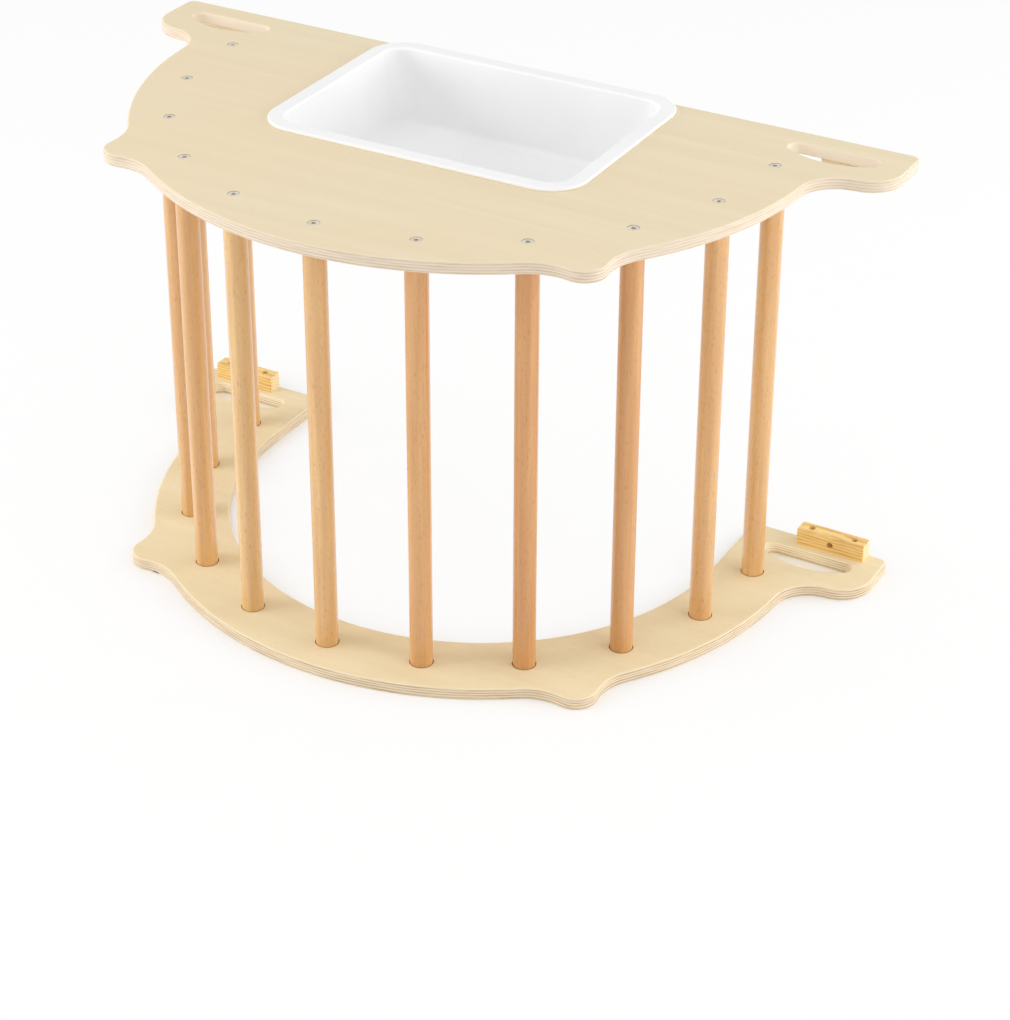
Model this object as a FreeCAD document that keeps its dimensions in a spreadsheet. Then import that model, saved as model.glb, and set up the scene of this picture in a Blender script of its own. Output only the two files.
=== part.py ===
import FreeCAD, Part
import math
import os
import Sketcher

# A child's climbing frame standing as a play table: two plywood panels, eleven dowel rungs
# between them, four drilled pine blocks and a storage bin hung in the upper panel's notch.
# +X runs along the straight edge, -Y points to the crown of the arch, +Z is up.
# The origin lies on the floor, under the middle of the whole object.

# Driving dimensions, in millimetres and degrees
SIZES = {
    "panel_thickness": "15",
    "clear_height": "520",
    "edge_round": "2.5",
    "rung_circle_radius": "365",
    "rung_count": "11",
    "rung_step_angle": "18.487",
    "rung_diameter": "26.6",
    "rung_end_chamfer": "1",
    "socket_gap": "0.8",
    "socket_depth": "6",
    "outer_margin": "48",
    "inner_margin": "45.5",
    "straight_offset": "118.3",
    "foot_reach": "85.5",
    "foot_height": "93.5",
    "foot_fillet_radius": "48",
    "foot_corner_radius": "42",
    "back_corner_radius": "10",
    "leg_corner_radius": "12",
    "bump_angle": "44",
    "bump_offset": "7",
    "bump_tip_radius": "26",
    "bump_fillet_radius": "66",
    "slot_length": "111.5",
    "slot_height": "36",
    "slot_end_radius": "12",
    "slot_end_margin": "32.5",
    "slot_edge_margin": "29.8",
    "block_length": "88",
    "block_depth": "21",
    "block_height": "22",
    "block_round": "1.5",
    "block_end_margin": "24.5",
    "block_bore_diameter": "8",
    "screw_pitch": "56",
    "screw_seat_depth": "7",
    "screw_head_diameter": "7.6",
    "screw_head_height": "3",
    "screw_shank_diameter": "4",
    "screw_bite": "10",
    "screw_key_size": "3",
    "screw_key_depth": "1.5",
    "bolt_head_diameter": "13.4",
    "bolt_head_height": "3.6",
    "bolt_head_inset": "0.4",
    "bolt_shank_diameter": "6",
    "bolt_reach": "14",
    "bolt_key_size": "5",
    "bolt_key_depth": "2.2",
    "insert_diameter": "9",
    "insert_length": "16",
    "fastener_gap": "0.3",
    "thread_gap": "0.1",
    "bin_width": "378",
    "bin_length": "268",
    "bin_depth": "100",
    "bin_wall": "2.5",
    "bin_draft_angle": "5",
    "bin_corner_radius": "29",
    "bin_floor_radius": "12",
    "rim_flange": "17",
    "rim_rise": "4",
    "rim_corner_radius": "46",
    "rim_outer_round": "2.2",
    "rim_foot_round": "0.9",
    "rim_inner_round": "3.5",
    "rim_overhang": "6.7",
    "notch_gap": "2.5",
    "front_overlap": "4",
    "notch_corner_radius": "28",
    "lip_radius": "9",
    "lip_fillet_radius": "45",
    "lip_gap": "2.5",
}

# Sizes worked out from the driving ones, in the rung circle's frame unless named otherwise
LAYOUT = {
    "outer_radius": "Sizes.rung_circle_radius + Sizes.outer_margin",
    "inner_radius": "Sizes.rung_circle_radius - Sizes.inner_margin",
    "half_length": "Layout.outer_radius + Sizes.foot_reach",
    "foot_front": "Sizes.straight_offset - Sizes.foot_height",
    "foot_corner_y": "Layout.foot_front + Sizes.foot_corner_radius",
    "bump_x": "(Layout.outer_radius + Sizes.bump_offset) * sin(Sizes.bump_angle * 1deg)",
    "bump_y": "-(Layout.outer_radius + Sizes.bump_offset) * cos(Sizes.bump_angle * 1deg)",
    "circle_y": "(Layout.outer_radius - Sizes.straight_offset - Sizes.rim_overhang) / 2",
    "table_z": "Sizes.panel_thickness + Sizes.clear_height",
    "top_z": "Layout.table_z + Sizes.panel_thickness",
    "rung_sweep": "Sizes.rung_step_angle * (Sizes.rung_count - 1)",
    "first_rung_x": "-Sizes.rung_circle_radius * sin(Layout.rung_sweep / 2 * 1deg)",
    "first_rung_y": "-Sizes.rung_circle_radius * cos(Layout.rung_sweep / 2 * 1deg)",
    "rung_length": "Sizes.clear_height + 2 * Sizes.socket_depth",
    "rung_z": "Sizes.panel_thickness - Sizes.socket_depth",
    "socket_diameter": "Sizes.rung_diameter + 2 * Sizes.socket_gap",
    "bolt_seat": "Sizes.bolt_head_inset + Sizes.bolt_head_height",
    "bolt_length": "Layout.rung_z - Layout.bolt_seat + Sizes.bolt_reach",
    "bolt_recess_diameter": "Sizes.bolt_head_diameter + 2 * Sizes.fastener_gap",
    "bolt_hole_diameter": "Sizes.bolt_shank_diameter + 2 * Sizes.fastener_gap",
    "insert_bore": "Sizes.bolt_shank_diameter + 2 * Sizes.thread_gap",
    "insert_hole_diameter": "Sizes.insert_diameter + 2 * Sizes.thread_gap",
    "slot_x": "Layout.half_length - Sizes.slot_end_margin - Sizes.slot_length / 2",
    "slot_y": "Sizes.straight_offset - Sizes.slot_edge_margin",
    "slot_reach": "Sizes.slot_length / 2 - Sizes.slot_end_radius",
    "slot_bulge_radius": "(Layout.slot_reach ^ 2 + Sizes.slot_height ^ 2"
                         " - 2 * Sizes.slot_height * Sizes.slot_end_radius)"
                         " / (2 * (Sizes.slot_height - 2 * Sizes.slot_end_radius))",
    "block_x": "Layout.half_length - Sizes.block_end_margin - Sizes.block_length / 2",
    "block_y": "Sizes.straight_offset - Sizes.block_depth / 2",
    "screw_seat": "Sizes.block_height - Sizes.screw_seat_depth",
    "screw_top": "Layout.screw_seat + Sizes.screw_head_height",
    "screw_length": "Layout.screw_seat + Sizes.screw_bite",
    "screw_recess_diameter": "Sizes.screw_head_diameter + 2 * Sizes.fastener_gap",
    "screw_hole_diameter": "Sizes.screw_shank_diameter + 2 * Sizes.fastener_gap",
    "screw_pilot_diameter": "Sizes.screw_shank_diameter + 2 * Sizes.thread_gap",
    "screw_pilot_depth": "Sizes.screw_bite + Sizes.fastener_gap",
    "rim_width": "Sizes.bin_width + 2 * Sizes.rim_flange",
    "rim_length": "Sizes.bin_length + 2 * Sizes.rim_flange",
    "bin_y": "Sizes.straight_offset + Sizes.rim_overhang - Layout.rim_length / 2",
    "notch_half": "Sizes.bin_width / 2 + Sizes.notch_gap",
    "notch_front": "Layout.bin_y - Layout.rim_length / 2 + Sizes.front_overlap",
    "bin_corner_x": "Sizes.bin_width / 2 - Sizes.bin_corner_radius",
    "bin_corner_y": "Layout.bin_y + Sizes.bin_length / 2 - Sizes.bin_corner_radius",
    "lip_y": "Sizes.straight_offset - Sizes.lip_radius",
    "lip_reach": "Sizes.bin_corner_radius + Sizes.lip_radius + Sizes.lip_gap",
    "lip_x": "Layout.bin_corner_x"
             " + sqrt(Layout.lip_reach ^ 2 - (Layout.lip_y - Layout.bin_corner_y) ^ 2)",
}

# Names that the sketches use for ends, centres and the origin
START, END, CENTRE = range(1, 4)
ORIGIN = (-1, 1)

TOUCH = 1e-3
HEXAGON = range(6)
UPSIDE_DOWN = FreeCAD.Rotation(FreeCAD.Vector(0, 1, 0), 180)

doc = FreeCAD.newDocument("climbing_frame")

sheet = doc.addObject("Spreadsheet::Sheet", "Sizes")
for row, (alias, value) in enumerate(SIZES.items(), start=1):
    sheet.set(f"A{row}", alias)
    sheet.set(f"B{row}", value)
    sheet.setAlias(f"B{row}", alias)
doc.recompute()

layout = doc.addObject("App::VarSet", "Layout")
for name in LAYOUT:
    layout.addProperty("App::PropertyFloat", name, "Layout")
for name, formula in LAYOUT.items():
    layout.setExpression(name, formula)
doc.recompute()


def cell(name):
    """A driving dimension, or one worked out from them, as text for an expression."""
    return f"Sizes.{name}" if name in SIZES else f"Layout.{name}"


def number(expression):
    """What an expression comes to."""
    return float(sheet.evalExpression(expression))


def size(name):
    return number(cell(name))


# Places that several pieces share, as expressions in the rung circle's frame
FIRST_RUNG = (cell("first_rung_x"), cell("first_rung_y"))
BLOCK_SCREWS = (
    ("Layout.block_x - Sizes.screw_pitch / 2", cell("block_y")),
    ("Layout.block_x + Sizes.screw_pitch / 2", cell("block_y")),
)


# Sketch helpers

def vector(point):
    return FreeCAD.Vector(point[0], point[1], 0)


def line(first, last):
    return Part.LineSegment(vector(first), vector(last))


def circle(centre, radius):
    return Part.Circle(vector(centre), FreeCAD.Vector(0, 0, 1), radius)


def arc(centre, first, last):
    """The shorter arc about a centre from one point to another."""
    radius = math.dist(centre, first)
    start = math.atan2(first[1] - centre[1], first[0] - centre[0])
    stop = math.atan2(last[1] - centre[1], last[0] - centre[0])
    sweep = (stop - start) % (2 * math.pi)
    if sweep > math.pi:
        start = stop
        sweep = 2 * math.pi - sweep
    return Part.ArcOfCircle(circle(centre, radius), start, start + sweep)


def towards(centre, target, distance):
    """The point at a distance from a centre, on the way to a target."""
    share = distance / math.dist(centre, target)
    return (centre[0] + share * (target[0] - centre[0]), centre[1] + share * (target[1] - centre[1]))


def crossing(first, first_radius, second, second_radius, side):
    """Where two circles cross, on the left (side 1) or right (side -1) of the line of centres."""
    gap = math.dist(first, second)
    along = (gap ** 2 + first_radius ** 2 - second_radius ** 2) / (2 * gap)
    across = side * math.sqrt(first_radius ** 2 - along ** 2)
    ux = (second[0] - first[0]) / gap
    uy = (second[1] - first[1]) / gap
    return (first[0] + along * ux - across * uy, first[1] + along * uy + across * ux)


def origin_feature(body, role):
    for feature in body.Origin.OriginFeatures:
        if feature.Role == role:
            return feature


def new_body(label, many_solids=False):
    body = doc.addObject("PartDesign::Body", label)
    body.Label = label
    body.AllowCompound = many_solids
    return body


def new_sketch(body, name, height="0", role="XY_Plane"):
    sketch = body.newObject("Sketcher::SketchObject", name)
    sketch.AttachmentSupport = (origin_feature(body, role), [""])
    sketch.MapMode = "FlatFace"
    sketch.setExpression("AttachmentOffset.Base.z", height)
    return sketch


def drive(sketch, constraint, expression):
    """Adds one dimension to a sketch and binds it to the sheet."""
    index = sketch.addConstraint(constraint)
    sketch.setExpression(f"Constraints[{index}]", expression)


def set_radius(sketch, piece, expression):
    drive(sketch, Sketcher.Constraint("Radius", piece, number(expression)), expression)


def set_offset(sketch, direction, piece, spot, expression):
    """Places a point of a piece along X or Y from the sketch's origin."""
    distance = number(expression)
    if distance >= 0:
        constraint = Sketcher.Constraint(direction, *ORIGIN, piece, spot, distance)
        drive(sketch, constraint, expression)
    else:
        constraint = Sketcher.Constraint(direction, piece, spot, *ORIGIN, -distance)
        drive(sketch, constraint, f"-({expression})")


def set_place(sketch, piece, x, y):
    """Puts the centre of a circle or arc at a place given by expressions."""
    set_offset(sketch, "DistanceX", piece, CENTRE, x)
    set_offset(sketch, "DistanceY", piece, CENTRE, y)


def meeting_ends(sketch, this, following):
    """Which end of one piece meets which end of the next."""
    for spot in (START, END):
        for other in (START, END):
            gap = sketch.getPoint(this, spot).distanceToPoint(sketch.getPoint(following, other))
            if gap < TOUCH:
                return spot, other
    raise RuntimeError(f"{sketch.Label}: pieces {this} and {following} don't meet")


def chain(sketch, pieces, corners=()):
    """Adds a closed run of lines and arcs that meet smoothly, except after those listed as corners."""
    ids = []
    for piece in pieces:
        ids.append(sketch.addGeometry(piece, False))
    joints = []
    for place, (this, following) in enumerate(zip(ids, ids[1:] + ids[:1])):
        kind = "Coincident" if place in corners else "Tangent"
        spot, other = meeting_ends(sketch, this, following)
        joints.append(Sketcher.Constraint(kind, this, spot, following, other))
    sketch.addConstraint(joints)
    return ids


def level(sketch, *sides):
    for side in sides:
        sketch.addConstraint(Sketcher.Constraint("Horizontal", side))


def upright(sketch, *sides):
    for side in sides:
        sketch.addConstraint(Sketcher.Constraint("Vertical", side))


def alike(sketch, first, *others):
    for other in others:
        sketch.addConstraint(Sketcher.Constraint("Equal", first, other))


def centre_on_origin(sketch, *pieces):
    for piece in pieces:
        sketch.addConstraint(Sketcher.Constraint("Coincident", piece, CENTRE, *ORIGIN))


def add_circle(sketch, x, y, diameter_name):
    """One hole or pin, at a place given by expressions."""
    piece = sketch.addGeometry(circle((number(x), number(y)), size(diameter_name) / 2), False)
    drive(sketch, Sketcher.Constraint("Diameter", piece, size(diameter_name)), cell(diameter_name))
    set_place(sketch, piece, x, y)


def add_hexagon(sketch, x, y, across_name):
    """A key socket: six equal sides on a guide circle, at a place given by expressions."""
    reach = f"{cell(across_name)} / sqrt(3)"
    centre = (number(x), number(y))
    guide = sketch.addGeometry(circle(centre, number(reach)), True)
    set_radius(sketch, guide, reach)
    set_place(sketch, guide, x, y)
    points = []
    for turn in HEXAGON:
        angle = 2 * math.pi * turn / len(HEXAGON)
        direction = (centre[0] + math.cos(angle), centre[1] + math.sin(angle))
        points.append(towards(centre, direction, number(reach)))
    sides = []
    for first, last in zip(points, points[1:] + points[:1]):
        sides.append(sketch.addGeometry(line(first, last), False))
    for this, following in zip(sides, sides[1:] + sides[:1]):
        sketch.addConstraint(Sketcher.Constraint("Coincident", this, END, following, START))
        sketch.addConstraint(Sketcher.Constraint("PointOnObject", this, START, guide))
    alike(sketch, *sides)
    level(sketch, sides[1])


def add_rectangle(sketch, width_name, depth_name):
    """A sharp-cornered rectangle about the origin."""
    half_x = size(width_name) / 2
    half_y = size(depth_name) / 2
    points = [(-half_x, -half_y), (half_x, -half_y), (half_x, half_y), (-half_x, half_y)]
    sides = []
    for first, last in zip(points, points[1:] + points[:1]):
        sides.append(line(first, last))
    front, right, back, left = chain(sketch, sides, corners=range(len(sides)))
    level(sketch, front, back)
    upright(sketch, left, right)
    sketch.addConstraint(Sketcher.Constraint("Symmetric", front, START, back, START, *ORIGIN))
    set_offset(sketch, "DistanceX", right, START, f"{cell(width_name)} / 2")
    set_offset(sketch, "DistanceY", back, START, f"{cell(depth_name)} / 2")


def add_rounded_rectangle(sketch, width, depth, radius):
    """A round-cornered rectangle about the origin, its sizes given by expressions."""
    half_x = number(width) / 2
    half_y = number(depth) / 2
    straight_x = half_x - number(radius)
    straight_y = half_y - number(radius)
    pieces = []
    for turn_x, turn_y in ((1, -1), (1, 1), (-1, 1), (-1, -1)):
        centre = (turn_x * straight_x, turn_y * straight_y)
        end_point = (turn_x * half_x, turn_y * straight_y)
        side_point = (turn_x * straight_x, turn_y * half_y)
        pieces.append(arc(centre, end_point, side_point))
        if turn_x == turn_y:
            pieces.append(line(side_point, (-turn_x * straight_x, turn_y * half_y)))
        else:
            pieces.append(line(end_point, (turn_x * half_x, -turn_y * straight_y)))
    ids = chain(sketch, pieces)
    corners = ids[0::2]
    right, back, left, front = ids[1::2]
    upright(sketch, left, right)
    level(sketch, front, back)
    alike(sketch, *corners)
    opposite = Sketcher.Constraint("Symmetric", corners[0], CENTRE, corners[2], CENTRE, *ORIGIN)
    sketch.addConstraint(opposite)
    set_radius(sketch, corners[0], radius)
    set_offset(sketch, "DistanceX", right, START, f"({width}) / 2")
    set_offset(sketch, "DistanceY", back, START, f"({depth}) / 2")


# Feature helpers

def pad(body, name, sketch, length, upward=True):
    feature = body.newObject("PartDesign::Pad", name)
    feature.Profile = sketch
    feature.Refine = True
    feature.Reversed = not upward
    feature.setExpression("Length", length)
    body.Tip = feature
    doc.recompute()
    return feature


def pocket(body, name, sketch, length, upward):
    """A cut from the sketch plane; it has to take material away."""
    before = body.Shape.Volume
    feature = body.newObject("PartDesign::Pocket", name)
    feature.Profile = sketch
    feature.Refine = True
    feature.Reversed = upward
    feature.setExpression("Length", length)
    body.Tip = feature
    doc.recompute()
    if not feature.Shape.Volume < before:
        raise RuntimeError(f"{body.Label}: {name} cuts nothing")
    return feature


def mirrored(body, name, originals):
    feature = body.newObject("PartDesign::Mirrored", name)
    feature.Originals = originals
    feature.MirrorPlane = (origin_feature(body, "YZ_Plane"), [""])
    feature.Refine = True
    body.Tip = feature
    doc.recompute()


def along_rung_circle(body, name, originals):
    """Repeats features at every rung."""
    feature = body.newObject("PartDesign::PolarPattern", name)
    feature.Originals = originals
    feature.Axis = (origin_feature(body, "Z_Axis"), [""])
    feature.setExpression("Angle", cell("rung_sweep"))
    feature.setExpression("Occurrences", cell("rung_count"))
    feature.Refine = True
    body.Tip = feature
    doc.recompute()


def names_where(kind, pieces, test):
    """The numbered names of the edges or faces whose bounding box passes a test."""
    names = []
    for place, piece in enumerate(pieces, start=1):
        if test(piece.BoundBox):
            names.append(f"{kind}{place}")
    return names


def ease(body, kind, name, test, size_property, expression):
    """Rounds or chamfers the edges of the body's last feature that pass a test."""
    base = body.Tip
    feature = body.newObject(kind, name)
    feature.Base = (base, names_where("Edge", base.Shape.Edges, test))
    feature.setExpression(size_property, expression)
    body.Tip = feature
    doc.recompute()


def fillet(body, name, test, expression):
    ease(body, "PartDesign::Fillet", name, test, "Radius", expression)


def chamfer(body, name, test, expression):
    ease(body, "PartDesign::Chamfer", name, test, "Size", expression)


def at_height(*heights):
    """A test for edges and faces that lie flat at one of the heights."""
    def test(box):
        for height in heights:
            if abs(box.ZMin - height) < TOUCH and abs(box.ZMax - height) < TOUCH:
                return True
        return False
    return test


def place(body, x="0", y="0", z="0", flipped=False):
    if flipped:
        body.Placement = FreeCAD.Placement(FreeCAD.Vector(), UPSIDE_DOWN)
    body.setExpression("Placement.Base.x", x)
    body.setExpression("Placement.Base.y", y)
    body.setExpression("Placement.Base.z", z)


# Panels: drawn flat, outer face at zero height, with the rung circle about the origin

CROWN, BUMP_IN, BUMP_TIP, BUMP_OUT, FLANK = range(5)
FOOT_HOLLOW, FOOT_CORNER, FOOT_END, BACK_CORNER, STRAIGHT = range(5, 10)


def outer_half():
    """The right half of the outer edge, from the crown past the bump and the foot to the back."""
    centre = (0, 0)
    radius = size("outer_radius")
    half = size("half_length")
    tip = (size("bump_x"), size("bump_y"))
    tip_radius = size("bump_tip_radius")
    blend = size("bump_fillet_radius")
    before = crossing(centre, radius + blend, tip, tip_radius + blend, -1)
    after = crossing(centre, radius + blend, tip, tip_radius + blend, 1)
    corner_radius = size("foot_corner_radius")
    corner = (half - corner_radius, size("foot_corner_y"))
    hollow_radius = size("foot_fillet_radius")
    hollow = crossing(centre, radius + hollow_radius, corner, corner_radius + hollow_radius, -1)
    back_radius = size("back_corner_radius")
    back = (half - back_radius, size("straight_offset") - back_radius)
    bump_start = towards(centre, before, radius)
    tip_start = towards(tip, before, tip_radius)
    tip_end = towards(tip, after, tip_radius)
    bump_end = towards(centre, after, radius)
    foot_start = towards(centre, hollow, radius)
    foot_turn = towards(corner, hollow, corner_radius)
    foot_end = (half, corner[1])
    back_start = (half, back[1])
    back_end = (back[0], size("straight_offset"))
    return [
        arc(centre, (0, -radius), bump_start),
        arc(before, bump_start, tip_start),
        arc(tip, tip_start, tip_end),
        arc(after, tip_end, bump_end),
        arc(centre, bump_end, foot_start),
        arc(hollow, foot_start, foot_turn),
        arc(corner, foot_turn, foot_end),
        line(foot_end, back_start),
        arc(back, back_start, back_end),
    ]


def bind_outer_half(sketch):
    """Ties the outer edge to its dimensions; both panels share it."""
    centre_on_origin(sketch, CROWN, FLANK)
    set_radius(sketch, CROWN, cell("outer_radius"))
    alike(sketch, CROWN, FLANK)
    set_radius(sketch, BUMP_IN, cell("bump_fillet_radius"))
    alike(sketch, BUMP_IN, BUMP_OUT)
    set_radius(sketch, BUMP_TIP, cell("bump_tip_radius"))
    set_place(sketch, BUMP_TIP, cell("bump_x"), cell("bump_y"))
    set_radius(sketch, FOOT_HOLLOW, cell("foot_fillet_radius"))
    set_radius(sketch, FOOT_CORNER, cell("foot_corner_radius"))
    set_offset(sketch, "DistanceY", FOOT_CORNER, CENTRE, cell("foot_corner_y"))
    upright(sketch, FOOT_END)
    set_offset(sketch, "DistanceX", FOOT_END, START, cell("half_length"))
    set_radius(sketch, BACK_CORNER, cell("back_corner_radius"))
    level(sketch, STRAIGHT)
    set_offset(sketch, "DistanceY", STRAIGHT, START, cell("straight_offset"))


def close_on_middle(sketch, seam):
    """Keeps the seam between the two halves on the middle line."""
    for spot in (START, END):
        sketch.addConstraint(Sketcher.Constraint("Vertical", seam, spot, *ORIGIN))


def arch_half(body):
    """Half of the arch panel: a wide band with straight legs, open between the feet."""
    inner = size("inner_radius")
    straight = size("straight_offset")
    leg_radius = size("leg_corner_radius")
    leg_start = (inner + leg_radius, straight)
    leg_end = (inner, straight - leg_radius)
    edge = outer_half()
    edge += [
        line((size("half_length") - size("back_corner_radius"), straight), leg_start),
        arc((leg_start[0], leg_end[1]), leg_start, leg_end),
        line(leg_end, (inner, 0)),
        arc((0, 0), (inner, 0), (0, -inner)),
        line((0, -inner), (0, -size("outer_radius"))),
    ]
    leg_corner, leg_side, arch, seam = range(STRAIGHT + 1, len(edge))
    sketch = new_sketch(body, "half_outline")
    chain(sketch, edge, corners=(arch, seam))
    bind_outer_half(sketch)
    set_radius(sketch, leg_corner, cell("leg_corner_radius"))
    upright(sketch, leg_side)
    set_radius(sketch, arch, cell("inner_radius"))
    centre_on_origin(sketch, arch)
    close_on_middle(sketch, seam)
    return sketch


def table_half(body):
    """Half of the table panel: a full top with a notch for the bin, lipped at its mouth."""
    straight = size("straight_offset")
    half = size("notch_half")
    front = size("notch_front")
    corner = size("notch_corner_radius")
    lip = (size("lip_x"), size("lip_y"))
    blend = size("lip_fillet_radius")
    rise = math.sqrt((size("lip_radius") + blend) ** 2 - (lip[0] - half + blend) ** 2)
    hollow = (half - blend, lip[1] - rise)
    lip_turn = towards(lip, hollow, size("lip_radius"))
    corner_start = (half, front + corner)
    corner_end = (half - corner, front)
    edge = outer_half()
    edge += [
        line((size("half_length") - size("back_corner_radius"), straight), (lip[0], straight)),
        arc(lip, (lip[0], straight), lip_turn),
        arc(hollow, lip_turn, (half, hollow[1])),
        line((half, hollow[1]), corner_start),
        arc((corner_end[0], corner_start[1]), corner_start, corner_end),
        line(corner_end, (0, front)),
        line((0, front), (0, -size("outer_radius"))),
    ]
    lip_tip, lip_hollow, side, notch_corner, notch_edge, seam = range(STRAIGHT + 1, len(edge))
    sketch = new_sketch(body, "half_outline")
    chain(sketch, edge, corners=(notch_edge, seam))
    bind_outer_half(sketch)
    set_radius(sketch, lip_tip, cell("lip_radius"))
    set_offset(sketch, "DistanceX", lip_tip, CENTRE, cell("lip_x"))
    set_radius(sketch, lip_hollow, cell("lip_fillet_radius"))
    upright(sketch, side)
    set_offset(sketch, "DistanceX", side, END, cell("notch_half"))
    set_radius(sketch, notch_corner, cell("notch_corner_radius"))
    level(sketch, notch_edge)
    set_offset(sketch, "DistanceY", notch_edge, END, cell("notch_front"))
    close_on_middle(sketch, seam)
    return sketch


def handle_slot(body):
    """A half-moon hand hold: one straight side, one bulged side, round ends."""
    x = size("slot_x")
    y = size("slot_y")
    end_radius = size("slot_end_radius")
    bulge = size("slot_bulge_radius")
    bulge_centre = (x, y - size("slot_height") + bulge)
    right = (x + size("slot_reach"), y - end_radius)
    left = (x - size("slot_reach"), y - end_radius)
    right_turn = towards(bulge_centre, right, bulge)
    left_turn = towards(bulge_centre, left, bulge)
    pieces = [
        line((left[0], y), (right[0], y)),
        arc(right, (right[0], y), right_turn),
        arc(bulge_centre, right_turn, left_turn),
        arc(left, left_turn, (left[0], y)),
    ]
    sketch = new_sketch(body, "handle_slot")
    base, right_end, back, left_end = chain(sketch, pieces)
    level(sketch, base)
    set_offset(sketch, "DistanceY", base, START, cell("slot_y"))
    set_radius(sketch, right_end, cell("slot_end_radius"))
    alike(sketch, right_end, left_end)
    set_offset(sketch, "DistanceX", right_end, CENTRE, "Layout.slot_x + Layout.slot_reach")
    set_offset(sketch, "DistanceX", left_end, CENTRE, "Layout.slot_x - Layout.slot_reach")
    set_radius(sketch, back, cell("slot_bulge_radius"))
    return sketch


def make_panel(label, half):
    body = new_body(label)
    thickness = cell("panel_thickness")
    board = pad(body, "board", half(body), thickness)
    slot = pocket(body, "slot", handle_slot(body), thickness, upward=True)
    mirrored(body, "both_halves", [board, slot])
    fillet(body, "round_over", at_height(0, number(thickness)), cell("edge_round"))

    pilots = new_sketch(body, "pilot_sketch", thickness)
    for x, y in BLOCK_SCREWS:
        add_circle(pilots, x, y, "screw_pilot_diameter")
    pilot = pocket(body, "pilot", pilots, cell("screw_pilot_depth"), upward=False)
    mirrored(body, "both_pilots", [pilot])

    cuts = []
    for name, diameter, height, depth, upward_cut in (
        ("socket", "socket_diameter", thickness, cell("socket_depth"), False),
        ("head_recess", "bolt_recess_diameter", "0", cell("bolt_seat"), True),
        ("bolt_hole", "bolt_hole_diameter", "0", thickness, True),
    ):
        sketch = new_sketch(body, f"{name}_sketch", height)
        add_circle(sketch, *FIRST_RUNG, diameter)
        cuts.append(pocket(body, name, sketch, depth, upward_cut))
    along_rung_circle(body, "every_rung", cuts)
    return body


arch_panel = make_panel("arch_panel", arch_half)
place(arch_panel, y=cell("circle_y"))
table_panel = make_panel("table_panel", table_half)
place(table_panel, y=cell("circle_y"), z=cell("top_z"), flipped=True)
nodes = [arch_panel, table_panel]


# Rungs: dowels bored at both ends for a threaded insert

def make_rung(label, position):
    body = new_body(label)
    section = new_sketch(body, "dowel_section")
    add_circle(section, "0", "0", "rung_diameter")
    pad(body, "dowel", section, cell("rung_length"))
    chamfer(body, "eased_ends", at_height(0, size("rung_length")), cell("rung_end_chamfer"))
    for name, height, upward_cut in (("lower_bore", "0", True), ("upper_bore", cell("rung_length"), False)):
        sketch = new_sketch(body, f"{name}_sketch", height)
        add_circle(sketch, "0", "0", "insert_hole_diameter")
        pocket(body, name, sketch, cell("insert_length"), upward_cut)
    angle = f"({position} - (Sizes.rung_count - 1) / 2) * Sizes.rung_step_angle * 1deg"
    x = f"Sizes.rung_circle_radius * sin({angle})"
    y = f"Layout.circle_y - Sizes.rung_circle_radius * cos({angle})"
    place(body, x, y, cell("rung_z"))
    return body


for position in range(int(size("rung_count"))):
    nodes.append(make_rung(f"rung_{position + 1:02d}", position))


# Fasteners of the rungs: one group at each panel, drawn as the panel is

def make_rung_bolts(label):
    body = new_body(label, many_solids=True)
    head_sketch = new_sketch(body, "head_sketch", cell("bolt_head_inset"))
    add_circle(head_sketch, *FIRST_RUNG, "bolt_head_diameter")
    head = pad(body, "head", head_sketch, cell("bolt_head_height"))
    shank_sketch = new_sketch(body, "shank_sketch", cell("bolt_seat"))
    add_circle(shank_sketch, *FIRST_RUNG, "bolt_shank_diameter")
    shank = pad(body, "shank", shank_sketch, cell("bolt_length"))
    key_sketch = new_sketch(body, "key_sketch", cell("bolt_head_inset"))
    add_hexagon(key_sketch, *FIRST_RUNG, "bolt_key_size")
    key = pocket(body, "key", key_sketch, cell("bolt_key_depth"), upward=True)
    along_rung_circle(body, "every_bolt", [head, shank, key])
    return body


def make_rung_inserts(label):
    body = new_body(label, many_solids=True)
    sleeve_sketch = new_sketch(body, "sleeve_sketch", cell("rung_z"))
    add_circle(sleeve_sketch, *FIRST_RUNG, "insert_diameter")
    add_circle(sleeve_sketch, *FIRST_RUNG, "insert_bore")
    sleeve = pad(body, "sleeve", sleeve_sketch, cell("insert_length"))
    along_rung_circle(body, "every_insert", [sleeve])
    return body


# Blocks: drilled pine pieces on the inner face of each foot, drawn standing on that face

def make_block(label):
    body = new_body(label)
    outline = new_sketch(body, "block_outline")
    add_rectangle(outline, "block_length", "block_depth")
    pad(body, "timber", outline, cell("block_height"))
    fillet(body, "eased_edges", lambda box: box.ZMax > TOUCH, cell("block_round"))

    bore_sketch = new_sketch(body, "bore_sketch", "-Sizes.block_depth / 2", role="XZ_Plane")
    add_circle(bore_sketch, "0", "Sizes.block_height / 2", "block_bore_diameter")
    pocket(body, "cross_bore", bore_sketch, cell("block_depth"), upward=True)

    cuts = []
    for name, diameter, depth in (
        ("screw_recess", "screw_recess_diameter", cell("screw_seat_depth")),
        ("screw_hole", "screw_hole_diameter", cell("block_height")),
    ):
        sketch = new_sketch(body, f"{name}_sketch", cell("block_height"))
        add_circle(sketch, "Sizes.screw_pitch / 2", "0", diameter)
        cuts.append(pocket(body, name, sketch, depth, upward=False))
    mirrored(body, "both_screws", cuts)
    return body


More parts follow.
